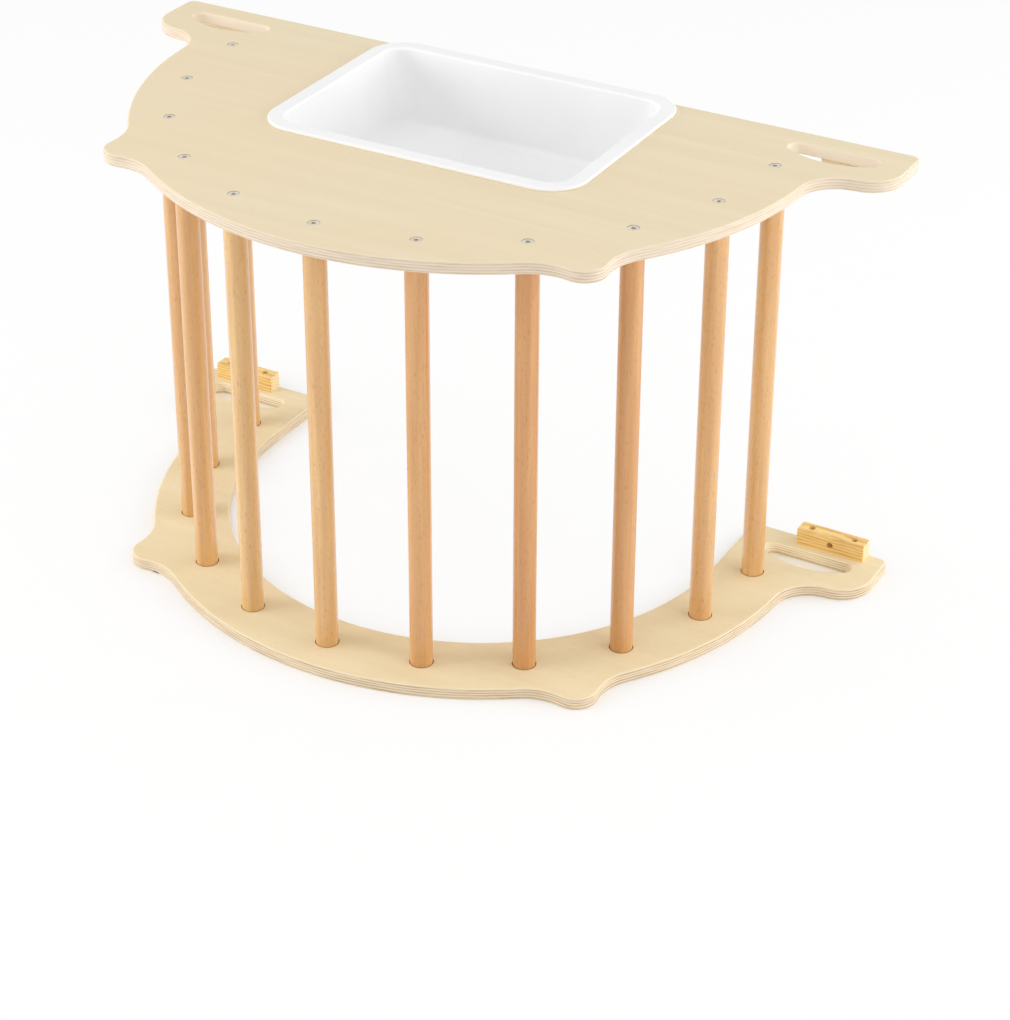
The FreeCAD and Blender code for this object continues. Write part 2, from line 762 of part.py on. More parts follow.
def make_block_screws(label):
    """The four screws of one panel's two blocks, heads sunk in the blocks, points in the panel."""
    body = new_body(label, many_solids=True)
    head_sketch = new_sketch(body, "head_sketch", cell("screw_seat"))
    shank_sketch = new_sketch(body, "shank_sketch", cell("screw_seat"))
    key_sketch = new_sketch(body, "key_sketch", cell("screw_top"))
    for x, y in BLOCK_SCREWS:
        add_circle(head_sketch, x, y, "screw_head_diameter")
        add_circle(shank_sketch, x, y, "screw_shank_diameter")
        add_hexagon(key_sketch, x, y, "screw_key_size")
    head = pad(body, "head", head_sketch, cell("screw_head_height"))
    shank = pad(body, "shank", shank_sketch, cell("screw_length"), upward=False)
    key = pocket(body, "key", key_sketch, cell("screw_key_depth"), upward=False)
    mirrored(body, "both_feet", [head, shank, key])
    return body


for height, flipped, outer_face, inner_face in (
    ("lower", False, "0", cell("panel_thickness")),
    ("upper", True, cell("top_z"), cell("table_z")),
):
    bolts = make_rung_bolts(f"{height}_rung_bolts")
    place(bolts, y=cell("circle_y"), z=outer_face, flipped=flipped)
    inserts = make_rung_inserts(f"{height}_rung_inserts")
    place(inserts, y=cell("circle_y"), z=outer_face, flipped=flipped)
    screws = make_block_screws(f"{height}_block_screws")
    place(screws, y=cell("circle_y"), z=inner_face, flipped=flipped)
    nodes += [bolts, inserts, screws]
    for side, sign in (("left", "-"), ("right", "")):
        block = make_block(f"{height}_{side}_block")
        place(block, f"{sign}Layout.block_x", "Layout.circle_y + Layout.block_y", inner_face, flipped)
        nodes.append(block)


# Storage bin: a drafted tray hung by its rim, drawn with the table's surface at zero height

def rim_ring(body, name, inner_width, inner_length, inner_radius, depth):
    """One ring of the rim, down from its upper face."""
    ring = new_sketch(body, f"{name}_sketch", cell("rim_rise"))
    add_rounded_rectangle(ring, cell("rim_width"), cell("rim_length"), cell("rim_corner_radius"))
    add_rounded_rectangle(ring, inner_width, inner_length, inner_radius)
    pad(body, name, ring, depth, upward=False)


def make_bin(label):
    body = new_body(label)
    rise = size("rim_rise")
    floor = rise - size("bin_depth")
    wall = size("bin_wall")
    mouth = new_sketch(body, "mouth", cell("rim_rise"))
    add_rectangle(mouth, "bin_width", "bin_length")
    tub = pad(body, "tub", mouth, cell("bin_depth"), upward=False)

    draft = body.newObject("PartDesign::Draft", "draft")
    draft.Base = (tub, names_where("Face", tub.Shape.Faces, lambda box: box.ZLength > TOUCH))
    draft.NeutralPlane = (tub, names_where("Face", tub.Shape.Faces, at_height(rise)))
    draft.Reversed = True
    draft.setExpression("Angle", cell("bin_draft_angle"))
    body.Tip = draft
    doc.recompute()
    if not draft.Shape.Volume < tub.Shape.Volume:
        raise RuntimeError(f"{label}: the walls lean outwards")
    fillet(body, "corners", lambda box: box.ZLength > TOUCH, cell("bin_corner_radius"))

    solid = body.Tip
    shell = body.newObject("PartDesign::Thickness", "shell")
    shell.Base = (solid, names_where("Face", solid.Shape.Faces, at_height(rise)))
    shell.Reversed = True
    shell.setExpression("Value", cell("bin_wall"))
    body.Tip = shell
    doc.recompute()
    fillet(body, "outer_floor", at_height(floor), cell("bin_floor_radius"))
    fillet(body, "inner_floor", at_height(floor + wall), "Sizes.bin_floor_radius - Sizes.bin_wall")

    rim_ring(body, "flange",
             "Sizes.bin_width - Sizes.bin_wall", "Sizes.bin_length - Sizes.bin_wall",
             "Sizes.bin_corner_radius - Sizes.bin_wall / 2", cell("bin_wall"))
    rim_ring(body, "skirt",
             "Layout.rim_width - 2 * Sizes.bin_wall", "Layout.rim_length - 2 * Sizes.bin_wall",
             "Sizes.rim_corner_radius - Sizes.bin_wall", cell("rim_rise"))

    def outer_rim(box):
        beyond_x = max(-box.XMin, box.XMax) > size("bin_width") / 2 + wall
        beyond_y = max(-box.YMin, box.YMax) > size("bin_length") / 2 + wall
        return at_height(rise)(box) and (beyond_x or beyond_y)

    def inner_rim(box):
        return at_height(rise)(box) and not outer_rim(box)

    def rim_foot(box):
        at_side = max(-box.XMin, box.XMax) > size("rim_width") / 2 - TOUCH
        at_end = max(-box.YMin, box.YMax) > size("rim_length") / 2 - TOUCH
        return at_height(0)(box) and (at_side or at_end)

    fillet(body, "rim_edge", outer_rim, cell("rim_outer_round"))
    fillet(body, "rim_foot", rim_foot, cell("rim_foot_round"))
    fillet(body, "mouth_edge", inner_rim, cell("rim_inner_round"))
    return body


storage_bin = make_bin("storage_bin")
place(storage_bin, y="Layout.circle_y + Layout.bin_y", z=cell("top_z"))
nodes.append(storage_bin)
doc.recompute()

# Every object has to be sound before anything is written
for item in doc.Objects:
    if "Invalid" in item.State or "Error" in item.State:
        raise RuntimeError(f"{item.Label} failed: {item.State}")
for node in nodes:
    if node.Shape.isNull() or not node.Shape.isValid() or not node.Shape.Solids:
        raise RuntimeError(f"{node.Label} has no sound shape")

os.makedirs("parts", exist_ok=True)
for node in nodes:
    node.Shape.exportStep(os.path.join("parts", f"{node.Label}.step"))
    print(f"{node.Label}: {len(node.Shape.Solids)} solids, {node.Shape.Volume / 1000:.1f} cm3")
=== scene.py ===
import math
from typing import NamedTuple

import bpy
from mathutils import Color, Matrix, Vector


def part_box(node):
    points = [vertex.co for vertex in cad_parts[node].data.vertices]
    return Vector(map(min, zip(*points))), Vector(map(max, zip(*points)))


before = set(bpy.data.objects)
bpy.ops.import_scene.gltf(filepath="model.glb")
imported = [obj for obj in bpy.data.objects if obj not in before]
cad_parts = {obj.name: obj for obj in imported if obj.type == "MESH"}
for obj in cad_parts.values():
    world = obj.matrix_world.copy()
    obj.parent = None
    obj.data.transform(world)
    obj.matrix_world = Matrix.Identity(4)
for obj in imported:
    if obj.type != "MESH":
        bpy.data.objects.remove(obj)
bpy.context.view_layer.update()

MM = 0.001
SCREEN_WHITE = 255
WHITE = (1, 1, 1, 1)

# The usual spread of a noise's values
SPREAD = (0.3, 0.7)

# A Mix node's sockets for the factor and the two colours, and for the mixed colour
MIX_INPUTS = (0, 6, 7)
MIX_OUTPUT = 2


def tint(red, green, blue):
    """A colour as read on a screen, 0 to 255, in the renderer's linear values."""
    shares = [value / SCREEN_WHITE for value in (red, green, blue)]
    return (*Color(shares).from_srgb_to_scene_linear(), 1.0)


def middle(node):
    """The middle of a node's box."""
    low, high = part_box(node)
    return (low + high) / 2


class Grain(NamedTuple):
    """A noise pattern: features per metre along X, Y and Z, the values that count, and its strength."""
    scale: tuple
    detail: float = 2.0
    roughness: float = 0.5
    distortion: float = 0.0
    limits: tuple = SPREAD
    share: float = 1.0


class Shade:
    """The shader nodes of one material, added by short calls."""

    def __init__(self, name):
        self.material = bpy.data.materials.new(name)
        self.material.use_nodes = True
        self.tree = self.material.node_tree
        self.shader = self.tree.nodes["Principled BSDF"]
        self.place = self.add("ShaderNodeTexCoord").outputs["Object"]

    def add(self, kind, **settings):
        node = self.tree.nodes.new(kind)
        for name, value in settings.items():
            setattr(node, name, value)
        return node

    def feed(self, socket, value):
        """Links another node's output to a socket, or sets its value."""
        if isinstance(value, bpy.types.NodeSocket):
            self.tree.links.new(value, socket)
        else:
            socket.default_value = value

    def feed_named(self, node, values):
        for name, value in values.items():
            self.feed(node.inputs[name], value)

    def split(self, vector):
        node = self.add("ShaderNodeSeparateXYZ")
        self.feed(node.inputs["Vector"], vector)
        return node.outputs["X"], node.outputs["Y"], node.outputs["Z"]

    def stretched(self, scale, turn=(0, 0, 0), start=(0, 0, 0)):
        """The object's own coordinates, scaled, turned and moved for a texture."""
        node = self.add("ShaderNodeMapping")
        self.feed_named(node, {"Vector": self.place, "Location": start, "Rotation": turn, "Scale": scale})
        return node.outputs["Vector"]

    def length(self, vector):
        node = self.add("ShaderNodeVectorMath", operation="LENGTH")
        self.feed(node.inputs[0], vector)
        return node.outputs["Value"]

    def noise(self, grain, turn=(0, 0, 0), start=(0, 0, 0)):
        node = self.add("ShaderNodeTexNoise")
        self.feed_named(node, {"Vector": self.stretched(grain.scale, turn, start), "Scale": 1.0,
                               "Detail": grain.detail, "Roughness": grain.roughness,
                               "Distortion": grain.distortion})
        return node.outputs["Fac"]

    def maths(self, operation, *values):
        node = self.add("ShaderNodeMath", operation=operation)
        for place, value in enumerate(values):
            self.feed(node.inputs[place], value)
        return node.outputs["Value"]

    def remap(self, value, limits=SPREAD, to=(0.0, 1.0)):
        """A value between two limits, carried over to two others and held there."""
        node = self.add("ShaderNodeMapRange", clamp=True)
        self.feed_named(node, {"Value": value, "From Min": limits[0], "From Max": limits[1],
                               "To Min": to[0], "To Max": to[1]})
        return node.outputs["Result"]

    def mix(self, factor, first, second):
        node = self.add("ShaderNodeMix", data_type="RGBA")
        for socket, value in zip(MIX_INPUTS, (factor, first, second)):
            self.feed(node.inputs[socket], value)
        return node.outputs[MIX_OUTPUT]

    def veil(self, value, grain, first, second):
        """Lays a second colour over the first where a grain's value is high, up to the grain's share."""
        return self.mix(self.remap(value, grain.limits, (0.0, grain.share)), first, second)

    def bump(self, height, distance, strength):
        node = self.add("ShaderNodeBump")
        self.feed_named(node, {"Height": height, "Distance": distance, "Strength": strength})
        self.feed(self.shader.inputs["Normal"], node.outputs["Normal"])

    def finish(self, **values):
        """Sets or links the shader's own inputs, named with underscores for spaces."""
        self.feed_named(self.shader, {name.replace("_", " "): value for name, value in values.items()})
        return self.material


# Plywood: a solid stack of plies, seen end-on at every edge and rounding

PANEL_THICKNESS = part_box("arch_panel")[1].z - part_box("arch_panel")[0].z
INNER_PLIES = 7
FACE_PLY = 1.6 * MM
INNER_PLY = (PANEL_THICKNESS - 2 * FACE_PLY) / INNER_PLIES
EDGE_STARTS = PANEL_THICKNESS / 2 - 0.3 * FACE_PLY
EDGE_FULL = PANEL_THICKNESS / 2 - 0.9 * FACE_PLY

# Every second inner ply runs across; heights are counted in plies, with a slight drift
PLY_PAIR = 2.0
CROSS_MIDDLE = 1.5
CROSS_FADE = (0.2, 0.55)
PLY_DRIFT = 0.16

PLY_WANDER = Grain((14, 14, 40), detail=3)
PLY_STREAK = Grain((2.2, 42, 42), detail=5, roughness=0.6, distortion=0.3, limits=(0.28, 0.72))
PLY_FIBRE = Grain((16, 620, 620), limits=(0.35, 0.7), share=0.16)
PLY_CLOUD = Grain((3.2, 5.5, 1.0), limits=(0.35, 0.7), share=0.5)
PLY_FLECK = Grain((90, 640, 640), detail=1, limits=(0.68, 0.76), share=0.25)
EDGE_RUN = Grain((45, 45, 900), detail=3)
EDGE_SPECK = Grain((700, 700, 1500), limits=(0.3, 0.6))
EDGE_PATCH = Grain((20, 20, 260), detail=3, limits=(0.34, 0.64))
CLOUD_SHIFT = 7
FAINT_LINE = 0.3
SPECKED_LINE = 0.75
LINE_GROOVE = -1.5
PLY_ROUGHNESS = (0.58, 0.72)

# Painted light on the hand slots' walls: a paler core and fainter ply lines, which lift the shade inside
# the slots
TABLE_WOOD = {
    "face": (tint(231, 215, 182), tint(238, 224, 193)), "warm": tint(237, 216, 181),
    "core": (tint(221, 204, 180), tint(235, 221, 202)), "cross": tint(178, 148, 114), "lines": 0.55,
    "slot": tint(239, 227, 206), "slot_lines_painted_light": 0.2,
}
ARCH_WOOD = {
    "face": (tint(234, 216, 177), tint(242, 227, 192)), "warm": tint(239, 218, 175),
    "core": (tint(224, 203, 170), tint(240, 223, 195)), "cross": tint(140, 108, 76), "lines": 0.75,
    "slot": tint(253, 240, 210), "slot_lines_painted_light": 0.7,
}
FLECK_BROWN = tint(200, 170, 124)

# Rung sockets: the rungs stand on one circle, in equal steps
RUNG_COUNT = 11
CROWN_RUNG = middle("rung_06")
FIRST_RUNG = middle("rung_01")
RUNG_CIRCLE_Y = ((FIRST_RUNG.x ** 2 + FIRST_RUNG.y ** 2 - CROWN_RUNG.y ** 2)
                 / (2 * (FIRST_RUNG.y - CROWN_RUNG.y)))
RUNG_CIRCLE = RUNG_CIRCLE_Y - CROWN_RUNG.y
HALF_SWEEP = math.atan2(-FIRST_RUNG.x, RUNG_CIRCLE_Y - FIRST_RUNG.y)
RUNG_STEP = 2 * HALF_SWEEP / (RUNG_COUNT - 1)
# Painted shade in the sockets: dark brown below the panel's face round each rung end
SOCKET_RADIUS = 14.5 * MM
SOCKET_LIP = 0.3 * MM
SOCKET_SHADE_SHARE = 0.95
SOCKET_SHADE_BROWN = tint(56, 33, 18)

# Hand slots, alike at both ends of both panels
SLOT_MIDDLE = Vector((410.25, 214.5)) * MM
SLOT_REACH = Vector((58, 20)) * MM

# A short gap in one ply of the arch panel; the mesh has none, so the shade inside it is painted
PLY_VOID = Vector((-272, -182, 1.0)) * MM
VOID_REACH = Vector((5.5, 8, 1.5)) * MM
VOID_FADE = (0.8, 1.1)
VOID_SHARE = 0.9
VOID_SHADE_BROWN = tint(88, 66, 46)


def around_rungs(shade):
    """Distance from the nearest rung's axis, and 1 on the rungs' stretch of the ring, 0 off it."""
    flat = shade.stretched((1, 1, 0), start=(0, -RUNG_CIRCLE_Y, 0))
    x, y, _ = shade.split(flat)
    angle = shade.maths("ARCTAN2", x, shade.maths("MULTIPLY", y, -1.0))
    nearest = shade.maths("COSINE", shade.maths("WRAP", angle, RUNG_STEP / 2, -RUNG_STEP / 2))
    radius = shade.length(flat)
    squares = shade.maths("MULTIPLY_ADD", radius, radius, RUNG_CIRCLE ** 2)
    across = shade.maths("MULTIPLY", shade.maths("MULTIPLY", radius, nearest), 2 * RUNG_CIRCLE)
    distance = shade.maths("SQRT", shade.maths("MAXIMUM", shade.maths("SUBTRACT", squares, across), 0.0))
    on_ring = shade.maths("LESS_THAN", shade.maths("ABSOLUTE", angle), HALF_SWEEP + RUNG_STEP / 2)
    return distance, on_ring


def hand_slots(shade):
    """1 in the boxes round the four hand slots, 0 elsewhere; there light is painted on the slot walls and
    shade on the floor.
    """
    x, y, _ = shade.split(shade.place)
    aside = shade.maths("ABSOLUTE", shade.maths("SUBTRACT", shade.maths("ABSOLUTE", x), SLOT_MIDDLE.x))
    along = shade.maths("ABSOLUTE", shade.maths("SUBTRACT", y, SLOT_MIDDLE.y))
    return shade.maths("MULTIPLY", shade.maths("LESS_THAN", aside, SLOT_REACH.x),
                       shade.maths("LESS_THAN", along, SLOT_REACH.y))


def cross_plies(shade, height, low):
    """1 in the middle of the plies that run across, 0 in the others."""
    wander = shade.remap(shade.noise(PLY_WANDER), PLY_WANDER.limits, (-PLY_DRIFT, PLY_DRIFT))
    rise = shade.maths("SUBTRACT", height, low + FACE_PLY - INNER_PLY)
    layer = shade.maths("ADD", shade.maths("DIVIDE", rise, INNER_PLY), wander)
    in_pair = shade.maths("MODULO", layer, PLY_PAIR)
    off_middle = shade.maths("ABSOLUTE", shade.maths("SUBTRACT", in_pair, CROSS_MIDDLE))
    return shade.remap(off_middle, CROSS_FADE, (1.0, 0.0))


def ply_void(shade, colour):
    """Paints the shade inside the gap left in one ply, where it comes out at the edge."""
    scale = [1 / reach for reach in VOID_REACH]
    start = [-at / reach for at, reach in zip(PLY_VOID, VOID_REACH)]
    gap = shade.remap(shade.length(shade.stretched(scale, start=start)), VOID_FADE, (VOID_SHARE, 0.0))
    return shade.mix(gap, colour, VOID_SHADE_BROWN)


def paint_socket_shade(shade, colour, depth):
    """Paints shade into the sockets round the rung ends, below the panel's face."""
    distance, on_ring = around_rungs(shade)
    in_socket = shade.maths("MULTIPLY", on_ring, shade.maths("LESS_THAN", distance, SOCKET_RADIUS))
    below_face = shade.maths("LESS_THAN", depth, PANEL_THICKNESS / 2 - SOCKET_LIP)
    socket_shade = shade.maths("MULTIPLY", in_socket, below_face)
    return shade.mix(shade.maths("MULTIPLY", socket_shade, SOCKET_SHADE_SHARE), colour, SOCKET_SHADE_BROWN)


def plywood(node, wood):
    """Birch plywood with its grain along X, painted shade in the sockets round the rungs and painted
    light on the hand slots' walls.
    """
    shade = Shade(f"plywood_{node}")
    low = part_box(node)[0].z
    height = shade.split(shade.place)[2]
    depth = shade.maths("ABSOLUTE", shade.maths("SUBTRACT", height, low + PANEL_THICKNESS / 2))
    inside = shade.remap(depth, (EDGE_FULL, EDGE_STARTS), (1.0, 0.0))

    streak = shade.noise(PLY_STREAK, start=(low, low, 0))
    fibre = shade.noise(PLY_FIBRE)
    cloud = shade.noise(PLY_CLOUD, start=(CLOUD_SHIFT * low, 0, 0))
    face = shade.veil(streak, PLY_STREAK, *wood["face"])
    face = shade.veil(fibre, PLY_FIBRE, face, wood["face"][0])
    face = shade.veil(cloud, PLY_CLOUD, face, wood["warm"])
    face = shade.veil(shade.noise(PLY_FLECK), PLY_FLECK, face, FLECK_BROWN)

    slot_painted_light_mask = hand_slots(shade)
    core = shade.veil(shade.noise(EDGE_RUN), EDGE_RUN, *wood["core"])
    # Painted light: paler walls and fainter ply lines in the hand slots
    core = shade.mix(slot_painted_light_mask, core, wood["slot"])
    faint_to_full = (FAINT_LINE * wood["lines"], wood["lines"])
    line = shade.remap(shade.noise(EDGE_PATCH), EDGE_PATCH.limits, faint_to_full)
    specks = shade.remap(shade.noise(EDGE_SPECK), EDGE_SPECK.limits, (SPECKED_LINE, 1.0))
    line = shade.maths("MULTIPLY", line, specks)
    line = shade.maths("MULTIPLY", line, shade.remap(slot_painted_light_mask, (0.0, 1.0), (1.0, wood["slot_lines_painted_light"])))
    line = shade.maths("MULTIPLY", line, cross_plies(shade, height, low))
    edge = shade.mix(line, core, wood["cross"])

    colour = shade.mix(inside, face, edge)
    colour = ply_void(shade, colour)
    # Painted shade in the rung sockets
    colour = paint_socket_shade(shade, colour, depth)
    rough = shade.remap(streak, SPREAD, PLY_ROUGHNESS)
    relief = shade.maths("ADD", fibre, shade.maths("MULTIPLY", line, LINE_GROOVE))
    shade.bump(relief, distance=0.04 * MM, strength=0.6)
    return shade.finish(Base_Color=colour, Roughness=rough, Specular_IOR_Level=0.3)


# Beech: turned dowels with long streaks, fine dark flecks and a tone of their own

RUNG_TONES = (0.6, 0.6, 0.6, 0.65, 1.0, 0.75, 0.35, 0.15, 0.2, 0.6, 0.7)
RED_BEECH = {"dark": (196, 132, 71), "light": (216, 158, 97)}
PALE_BEECH = {"dark": (218, 172, 111), "light": (236, 198, 137)}
BEECH_FLECK_BROWN = tint(158, 100, 60)

BEECH_STREAK = Grain((120, 120, 5.0), detail=4, roughness=0.55)
BEECH_FIBRE = Grain((900, 900, 26), limits=(0.4, 0.75), share=0.3)
BEECH_FLECK = Grain((900, 900, 130), detail=1, limits=(0.62, 0.74), share=0.42)
BEECH_RINGS = Grain((60, 60, 1.1), limits=(0.2, 0.9), share=0.35)
RING_WAVE = {"Scale": 0.9, "Distortion": 3.5, "Detail": 2.0, "Detail Scale": 0.7}
RING_LEAN = (0.02, 0.015, 0)
PITH_SHIFT = Vector((2.1, -1.4))
STREAK_SHIFT = 3
BEECH_ROUGHNESS = (0.34, 0.46)


def beech_tint(streak, tone):
    """The colour of a dark or light streak, between the reddish and the pale beech."""
    pairs = zip(RED_BEECH[streak], PALE_BEECH[streak])
    return tint(*[reddish + tone * (pale - reddish) for reddish, pale in pairs])


def growth_rings(shade, node, tone):
    """Wide rings about an upright pith beside the dowel's own axis."""
    centre = middle(node)
    start = (PITH_SHIFT.x * tone - centre.x * BEECH_RINGS.scale[0],
             PITH_SHIFT.y - centre.y * BEECH_RINGS.scale[1], 0)
    wave = shade.add("ShaderNodeTexWave", wave_type="RINGS", rings_direction="Z")
    place = shade.stretched(BEECH_RINGS.scale, turn=RING_LEAN, start=start)
    shade.feed_named(wave, {"Vector": place, **RING_WAVE})
    return wave.outputs["Fac"]


def beech(node, tone):
    """Beech dowel with its grain upright; tone runs from 0, reddish, to 1, pale."""
    shade = Shade(f"beech_{node}")
    dark = beech_tint("dark", tone)
    streak = shade.noise(BEECH_STREAK, start=(STREAK_SHIFT * tone, 0, 0))
    fibre = shade.noise(BEECH_FIBRE)
    fleck = shade.noise(BEECH_FLECK)
    colour = shade.veil(streak, BEECH_STREAK, dark, beech_tint("light", tone))
    colour = shade.veil(growth_rings(shade, node, tone), BEECH_RINGS, colour, dark)
    colour = shade.veil(fibre, BEECH_FIBRE, colour, dark)
    colour = shade.veil(fleck, BEECH_FLECK, colour, BEECH_FLECK_BROWN)
    shade.bump(shade.maths("SUBTRACT", fibre, fleck), distance=0.05 * MM, strength=0.5)
    rough = shade.remap(streak, SPREAD, BEECH_ROUGHNESS)
    return shade.finish(Base_Color=colour, Roughness=rough, Specular_IOR_Level=0.5, Coat_Weight=1.0,
                        Coat_Roughness=0.26)


# Pine: small blocks sawn beside the pith, so that the growth rings run along X

LOWER_PINE = {"early": (tint(240, 200, 120), tint(249, 220, 150)), "late": tint(196, 132, 56)}
# Painted shade: the upper blocks, under the table, get a paler and duller pine that tones down the light
# reaching them through the slots
UPPER_PINE_PAINTED_SHADE = {"early": (tint(234, 216, 180), tint(243, 228, 198)), "late": tint(198, 158, 104)}
END_GRAIN = tint(243, 228, 196)
END_SKIN = 0.3 * MM
END_SHARE = 0.6
END_RINGS = 0.55

RING_SPACING = 4.2 * MM
PITH_BELOW = 46 * MM
PITH_ASIDE = 14 * MM
LATE_RISE = (0.4, 0.86)
LATE_END = (0.9, 0.98)
LATE_STRENGTH = (0.2, 0.75)
PINE_SWAY = Grain((18, 60, 60), detail=3, limits=(0.2, 0.8))
SWAY_REACH = 2.4 * MM
SWAY_SHIFT = 9
PINE_FIBRE = Grain((25, 700, 700), detail=3)
PINE_PATCH = Grain((30, 90, 160), limits=(0.3, 0.65))
PINE_ROUGHNESS = (0.40, 0.55)


def late_rings(shade, centre):
    """1 in the dark late wood of each growth ring, which ends sharply, 0 in the early wood."""
    lean = PITH_ASIDE if centre.x > 0 else -PITH_ASIDE
    pith_y = centre.y + lean
    pith_z = centre.z - PITH_BELOW
    from_pith = shade.length(shade.stretched((0, 1, 1), start=(0, -pith_y, -pith_z)))
    sway = shade.noise(PINE_SWAY, start=(0, SWAY_SHIFT * centre.x, 0))
    sway = shade.remap(sway, PINE_SWAY.limits, (-SWAY_REACH, SWAY_REACH))
    growth = shade.maths("ADD", from_pith, sway)
    ring = shade.maths("FRACT", shade.maths("DIVIDE", growth, RING_SPACING))
    return shade.maths("MULTIPLY", shade.remap(ring, LATE_RISE), shade.remap(ring, LATE_END, (1.0, 0.0)))


def pine(node, wood):
    """Pine block with rings along its sides and paler ends."""
    shade = Shade(f"pine_{node}")
    centre = middle(node)
    half_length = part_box(node)[1].x - centre.x
    late_wood = late_rings(shade, centre)
    fibre = shade.noise(PINE_FIBRE)
    along = shade.maths("ABSOLUTE", shade.maths("SUBTRACT", shade.split(shade.place)[0], centre.x))
    end_grain = shade.maths("GREATER_THAN", along, half_length - END_SKIN)
    colour = shade.veil(fibre, PINE_FIBRE, *wood["early"])
    colour = shade.mix(shade.maths("MULTIPLY", end_grain, END_SHARE), colour, END_GRAIN)
    strength = shade.remap(shade.noise(PINE_PATCH), PINE_PATCH.limits, LATE_STRENGTH)
    strength = shade.maths("MULTIPLY", strength, shade.remap(end_grain, (0.0, 1.0), (1.0, END_RINGS)))
    colour = shade.mix(shade.maths("MULTIPLY", late_wood, strength), colour, wood["late"])
    shade.bump(shade.maths("ADD", fibre, late_wood), distance=0.06 * MM, strength=0.5)
    rough = shade.remap(fibre, SPREAD, PINE_ROUGHNESS)
    return shade.finish(Base_Color=colour, Roughness=rough, Specular_IOR_Level=0.4)


# Zinc-plated steel

ZINC = (tint(198, 192, 178), tint(224, 218, 204))
ZINC_CLOUD = Grain((160, 160, 160), detail=3)
ZINC_SCRATCH = Grain((2600, 500, 2600))
ZINC_ROUGHNESS = (0.36, 0.54)


def zinc():
    """Plated bolt and screw heads, cloudy and finely scratched."""
    shade = Shade("zinc_steel")
    scratch = shade.noise(ZINC_SCRATCH)
    colour = shade.veil(shade.noise(ZINC_CLOUD), ZINC_CLOUD, *ZINC)
    rough = shade.remap(scratch, SPREAD, ZINC_ROUGHNESS)
    shade.bump(scratch, distance=0.01 * MM, strength=0.4)
    return shade.finish(Base_Color=colour, Roughness=rough, Metallic=0.75)


# Brass

BRASS = (tint(186, 150, 84), tint(214, 184, 112))
BRASS_CLOUD = Grain((300, 300, 120), detail=3)
BRASS_ROUGHNESS = (0.3, 0.45)


def brass():
    """Turned inserts, slightly tarnished."""
    shade = Shade("insert_brass")
    cloud = shade.noise(BRASS_CLOUD)
    colour = shade.veil(cloud, BRASS_CLOUD, *BRASS)
    rough = shade.remap(cloud, SPREAD, BRASS_ROUGHNESS)
    return shade.finish(Base_Color=colour, Roughness=rough, Metallic=1.0)


# Moulded plastic

PLASTIC = (tint(243, 243, 243), tint(247, 247, 247))
SCUFF_GREY = tint(232, 232, 232)
PLASTIC_PEEL = Grain((1100, 1100, 1100))
PLASTIC_CLOUD = Grain((9, 9, 9))
PLASTIC_SCUFF = Grain((40, 340, 60), detail=3, limits=(0.66, 0.8), share=0.2)
SCUFF_TURN = (0.2, 0.5, 0.7)
SCUFF_SPREAD = (0.3, 0.75)
PLASTIC_ROUGHNESS = (0.30, 0.44)


def bin_plastic():
    """White polypropylene: a fine moulded texture and a soft gloss."""
    shade = Shade("bin_plastic")
    scuff = shade.noise(PLASTIC_SCUFF, turn=SCUFF_TURN)
    colour = shade.veil(shade.noise(PLASTIC_CLOUD), PLASTIC_CLOUD, *PLASTIC)
    colour = shade.veil(scuff, PLASTIC_SCUFF, colour, SCUFF_GREY)
    rough = shade.remap(scuff, SCUFF_SPREAD, PLASTIC_ROUGHNESS)
    shade.bump(shade.noise(PLASTIC_PEEL), distance=0.02 * MM, strength=0.35)
    return shade.finish(Base_Color=colour, Roughness=rough, Specular_IOR_Level=0.5)


# Each piece gets its finish

def dress(node, material):
    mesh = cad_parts[node].data
    mesh.materials.clear()
    mesh.materials.append(material)


dress("table_panel", plywood("table_panel", TABLE_WOOD))
dress("arch_panel", plywood("arch_panel", ARCH_WOOD))
for number, tone in enumerate(RUNG_TONES, start=1):
    rung = f"rung_{number:02d}"
    dress(rung, beech(rung, tone))
steel = zinc()
sleeve = brass()
for level, pine_wood in (("lower", LOWER_PINE), ("upper", UPPER_PINE_PAINTED_SHADE)):
    dress(f"{level}_rung_bolts", steel)
    dress(f"{level}_block_screws", steel)
    dress(f"{level}_rung_inserts", sleeve)
    for side in ("left", "right"):
        block = f"{level}_{side}_block"
        dress(block, pine(block, pine_wood))
dress("storage_bin", bin_plastic())


# Floor and studio light

FLOOR_SIZE = 30.0
FLOOR_GLOW = 0.88
CONTACT_REACH = 0.1
CONTACT_POWER = 2.5
FLOOR_PAPER = (0.94, 0.935, 0.93, 1)
# Painted shade: a warmer, darker paper under the hand slots
SLOT_SHADE_PAPER = (0.91, 0.83, 0.68, 1)
WORLD_LIGHT = 0.55
LAMPS = {
    "overhead": {"place": (-0.3, -0.5, 3.4), "target": (0, 0, 0.4), "size": (3.2, 3.2), "power": 26},
    "left": {"place": (-2.5, -1.7, 1.1), "target": (0, 0, 0.25), "size": (2.0, 1.8), "power": 50},
    "front": {"place": (0.6, -3.0, 1.3), "target": (0, 0, 0.25), "size": (2.4, 1.6), "power": 5},
    "right": {"place": (3.0, 0.1, 1.1), "target": (0, 0, 0.25), "size": (2.0, 1.8), "power": 36},
    "behind": {"place": (1.9, 1.9, 0.9), "target": (0, 0, 0.3), "size": (1.6, 1.6), "power": 22},
}


def seen_directly(tree):
    """1 for rays from the camera, mirrors and glass, 0 for the light that falls on the object."""
    path = tree.nodes.new("ShaderNodeLightPath")
    total = path.outputs["Is Camera Ray"]
    for name in ("Is Glossy Ray", "Is Transmission Ray"):
        either = tree.nodes.new("ShaderNodeMath")
        either.operation = "MAXIMUM"
        tree.links.new(total, either.inputs[0])
        tree.links.new(path.outputs[name], either.inputs[1])
        total = either.outputs["Value"]
    return total


